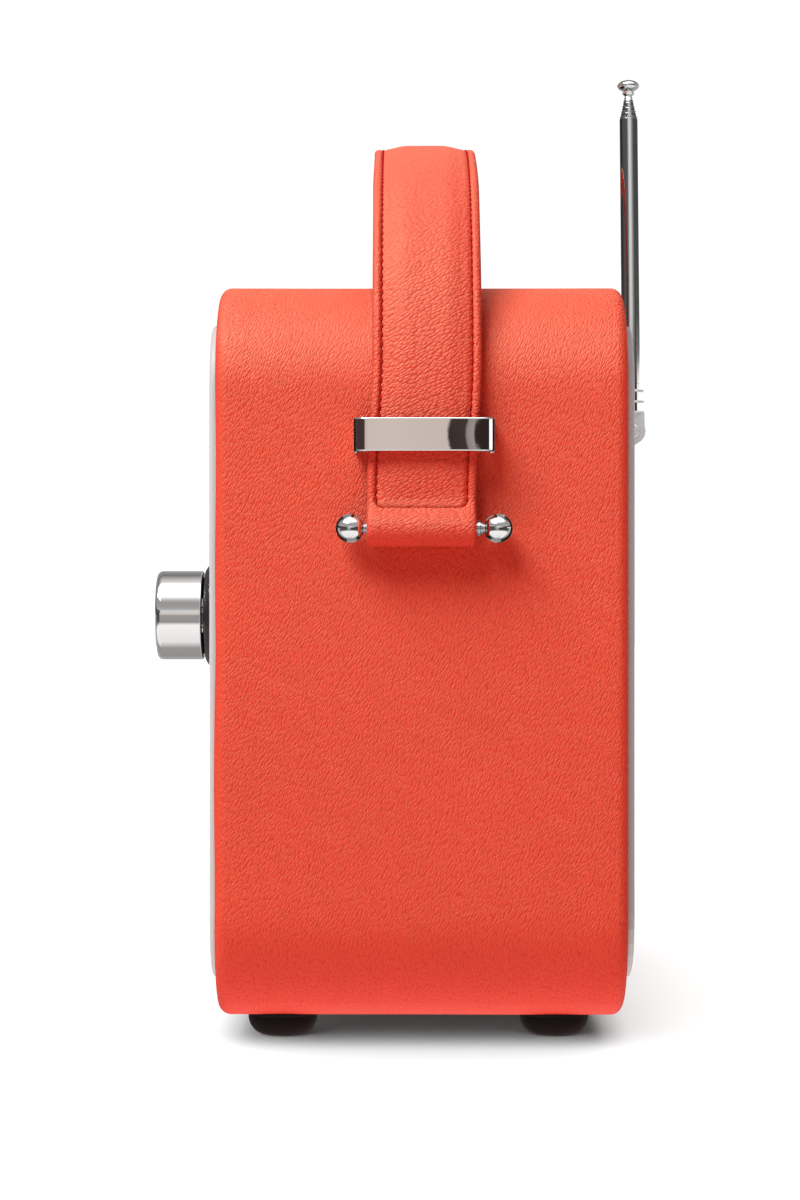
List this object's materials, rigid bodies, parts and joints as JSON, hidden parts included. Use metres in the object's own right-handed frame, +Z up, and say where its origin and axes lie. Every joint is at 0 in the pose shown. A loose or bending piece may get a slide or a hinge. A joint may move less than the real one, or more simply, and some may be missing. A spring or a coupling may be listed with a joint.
{
  "type": "portable radio",
  "caption": "Leather-wrapped portable radio with a sliding strap handle, a push-and-turn knob, a speaker and a telescopic aerial.",
  "frame": {"origin": "centre of the whole's footprint, at the bottom of its feet", "axes": "+Z up, the front with the knob faces -Y, +X to the right of a person who looks at the front"},
  "size_m": [0.2894, 0.1323, 0.2576],
  "materials": {
    "leather": "pebbled, coral red, satin",
    "strap_leather": "pebbled, coral red, satin",
    "cabinet_board": "raw fibreboard, hidden",
    "panel_white": "off-white, satin",
    "chrome": "polished",
    "aerial_chrome": "polished",
    "black_plastic": "black, satin",
    "foot_rubber": "dark brown, satin",
    "grille_metal": "brushed, pale",
    "display_glass": "black, polished",
    "circuit_board": "green solder mask",
    "speaker_paper": "black paper",
    "magnet_steel": "plated steel",
    "cell_wrap": "blue printed sleeve, density of a dry cell",
    "contact_nickel": "nickel plated",
    "screw_steel": "plated"
  },
  "bodies": {
    "cabinet": {"battery_contact_left": "contact_nickel", "battery_contact_right": "contact_nickel", "battery_tray": "black_plastic", "cabinet_shell": "cabinet_board", "cell_1": "cell_wrap", "cell_2": "cell_wrap", "cell_3": "cell_wrap", "cell_4": "cell_wrap", "control_board": "circuit_board", "display_module": "black_plastic", "display_window": "display_glass", "encoder_body": "magnet_steel", "foot_1": "foot_rubber", "foot_2": "foot_rubber", "foot_3": "foot_rubber", "foot_4": "foot_rubber", "front_panel": "panel_white", "keeper_left": "chrome", "keeper_right": "chrome", "knob_bezel": "black_plastic", "leather_wrap": "leather", "main_board": "circuit_board", "phones_socket": "black_plastic", "power_socket": "contact_nickel", "rear_panel": "panel_white", "rear_screw_1": "screw_steel", "rear_screw_2": "screw_steel", "rear_screw_3": "screw_steel", "rear_screw_4": "screw_steel", "speaker_basket": "black_plastic", "speaker_cone": "speaker_paper", "speaker_grille": "grille_metal", "speaker_magnet": "magnet_steel"},
    "knob_plunger": {"encoder_plunger": "black_plastic"},
    "knob": {"encoder_shaft": "screw_steel", "control_knob": "chrome"},
    "battery_door": {"battery_door": "panel_white"},
    "aerial_swivel": {"aerial_swivel": "aerial_chrome", "aerial_nut": "screw_steel", "aerial_pin": "screw_steel"},
    "aerial_mast": {"aerial_knuckle": "aerial_chrome", "aerial_tube_1": "aerial_chrome"},
    "aerial_section_2": {"aerial_tube_2": "aerial_chrome"},
    "aerial_section_3": {"aerial_tube_3": "aerial_chrome"},
    "aerial_section_4": {"aerial_tube_4": "aerial_chrome"},
    "aerial_section_5": {"aerial_rod": "aerial_chrome"},
    "handle": {"strap_base": "strap_leather", "strap_pad": "strap_leather"},
    "stop_right": {"stop_bar_right": "chrome", "stop_ball_right_front": "chrome", "stop_ball_right_rear": "chrome"},
    "stop_left": {"stop_bar_left": "chrome", "stop_ball_left_front": "chrome", "stop_ball_left_rear": "chrome"},
    "button_1": {"button_1": "black_plastic"},
    "button_2": {"button_2": "black_plastic"},
    "button_3": {"button_3": "black_plastic"},
    "button_4": {"button_4": "black_plastic"}
  },
  "joints": [
    {"name": "knob_push", "type": "slide", "parent": "cabinet", "child": "knob_plunger", "axis": [0, 1, 0], "range_m": [0, 0.0005], "stiffness_N_per_m": 3000, "springref_m": -0.0003},
    {"name": "knob_turn", "type": "hinge", "parent": "knob_plunger", "child": "knob", "pos_m": [0.091, -0.0506, 0.1087], "axis": [0, 1, 0], "continuous": true},
    {"name": "handle_slide", "type": "slide", "parent": "cabinet", "child": "handle", "axis": [0, 0, 1], "range_m": [-0.001, 0.012]},
    {"name": "battery_door_hinge", "type": "hinge", "parent": "cabinet", "child": "battery_door", "pos_m": [-0.056, 0.0561, 0.0337], "axis": [-1, 0, 0], "range_deg": [0, 100]},
    {"name": "aerial_turn", "type": "hinge", "parent": "cabinet", "child": "aerial_swivel", "pos_m": [0.055, 0.0574, 0.1596], "axis": [0, 1, 0], "range_deg": [-90, 90]},
    {"name": "aerial_tilt", "type": "hinge", "parent": "aerial_swivel", "child": "aerial_mast", "pos_m": [0.055, 0.0623, 0.1596], "axis": [-1, 0, 0], "range_deg": [0, 90]},
    {"name": "aerial_slide_2", "type": "slide", "parent": "aerial_mast", "child": "aerial_section_2", "axis": [0, -0.0096, 1], "range_m": [0, 0.066]},
    {"name": "aerial_slide_3", "type": "slide", "parent": "aerial_section_2", "child": "aerial_section_3", "axis": [0, -0.0096, 1], "range_m": [0, 0.066]},
    {"name": "aerial_slide_4", "type": "slide", "parent": "aerial_section_3", "child": "aerial_section_4", "axis": [0, -0.0096, 1], "range_m": [0, 0.066]},
    {"name": "aerial_slide_5", "type": "slide", "parent": "aerial_section_4", "child": "aerial_section_5", "axis": [0, -0.0096, 1], "range_m": [0, 0.066]},
    {"name": "stop_spin_right", "type": "hinge", "parent": "handle", "child": "stop_right", "pos_m": [0.1401, 0.0038, 0.1306], "axis": [0, 1, 0], "continuous": true},
    {"name": "stop_spin_left", "type": "hinge", "parent": "handle", "child": "stop_left", "pos_m": [-0.1401, 0.0038, 0.1306], "axis": [0, 1, 0], "continuous": true},
    {"name": "button_1_press", "type": "slide", "parent": "cabinet", "child": "button_1", "axis": [0, 1, 0], "range_m": [0, 0.0008], "stiffness_N_per_m": 1500, "springref_m": -0.0004},
    {"name": "button_2_press", "type": "slide", "parent": "cabinet", "child": "button_2", "axis": [0, 1, 0], "range_m": [0, 0.0008], "stiffness_N_per_m": 1500, "springref_m": -0.0004},
    {"name": "button_3_press", "type": "slide", "parent": "cabinet", "child": "button_3", "axis": [0, 1, 0], "range_m": [0, 0.0008], "stiffness_N_per_m": 1500, "springref_m": -0.0004},
    {"name": "button_4_press", "type": "slide", "parent": "cabinet", "child": "button_4", "axis": [0, 1, 0], "range_m": [0, 0.0008], "stiffness_N_per_m": 1500, "springref_m": -0.0004}
  ]
}
